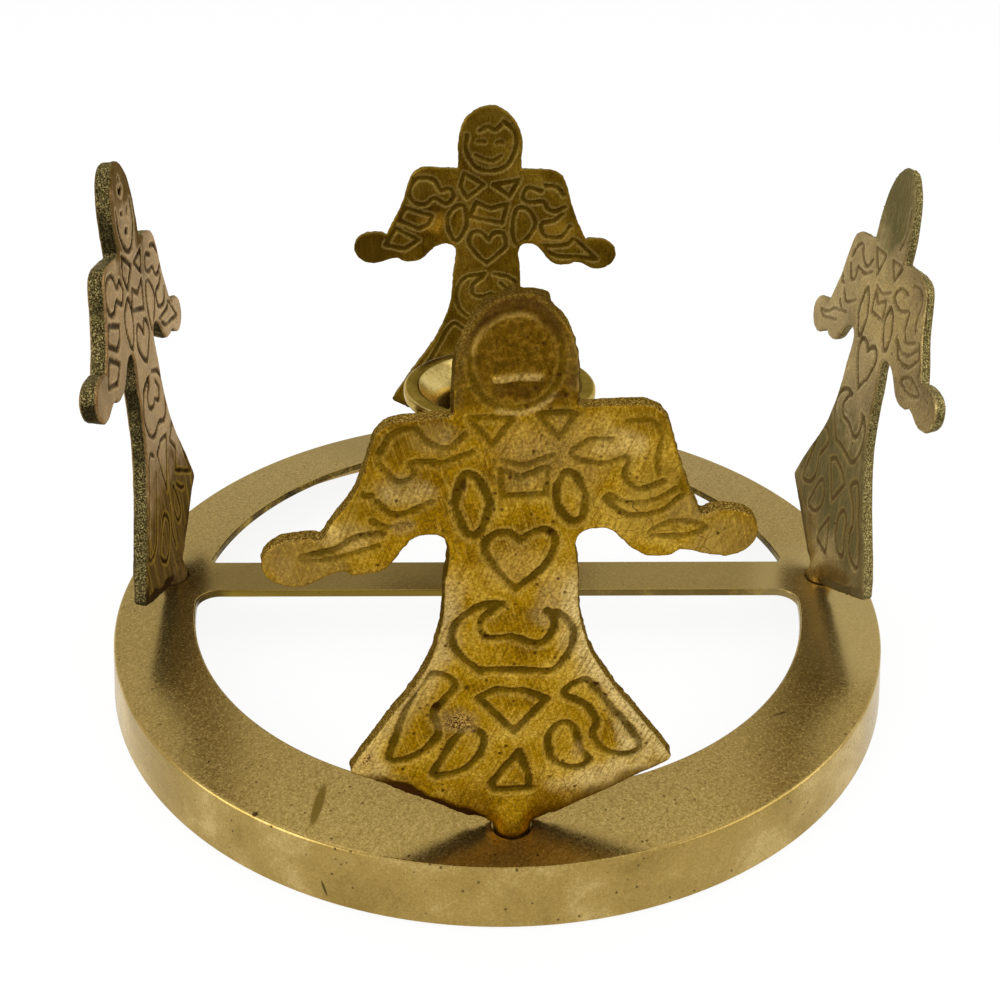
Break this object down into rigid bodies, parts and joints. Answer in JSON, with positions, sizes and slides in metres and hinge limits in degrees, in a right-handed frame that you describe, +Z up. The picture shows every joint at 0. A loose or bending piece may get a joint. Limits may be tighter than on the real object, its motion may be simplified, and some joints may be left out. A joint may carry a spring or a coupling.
{
  "type": "taper candle holder",
  "caption": "Brass table candle holder: a turned cup for a standard taper on a short stem, carried by a skirted ring with a crossbar, ringed by flat cast angels.",
  "frame": {"origin": "centre of the ring, on the table it stands on", "axes": "+Z up, along the candle; +X along the crossbar; +Y from the front angel to the back one"},
  "size_m": [0.153, 0.153, 0.0922],
  "materials": {
    "angel_brass": "lacquered sand-cast brass, mustard gold, with olive engraved lines and rough edges",
    "ring_brass": "satin olive-tan cast brass with fine specks, turned rim",
    "turned_brass": "turned and polished pale brass",
    "screw_brass": "plain turned brass"
  },
  "bodies": {
    "root": {"ring_base": "ring_brass", "stem": "turned_brass", "candle_cup": "turned_brass", "stem_washer": "screw_brass", "stem_screw": "screw_brass", "angel_front": "angel_brass", "angel_right": "angel_brass", "angel_back": "angel_brass", "angel_left": "angel_brass", "angel_screw_front": "screw_brass", "angel_screw_right": "screw_brass", "angel_screw_back": "screw_brass", "angel_screw_left": "screw_brass"}
  },
  "joints": []
}
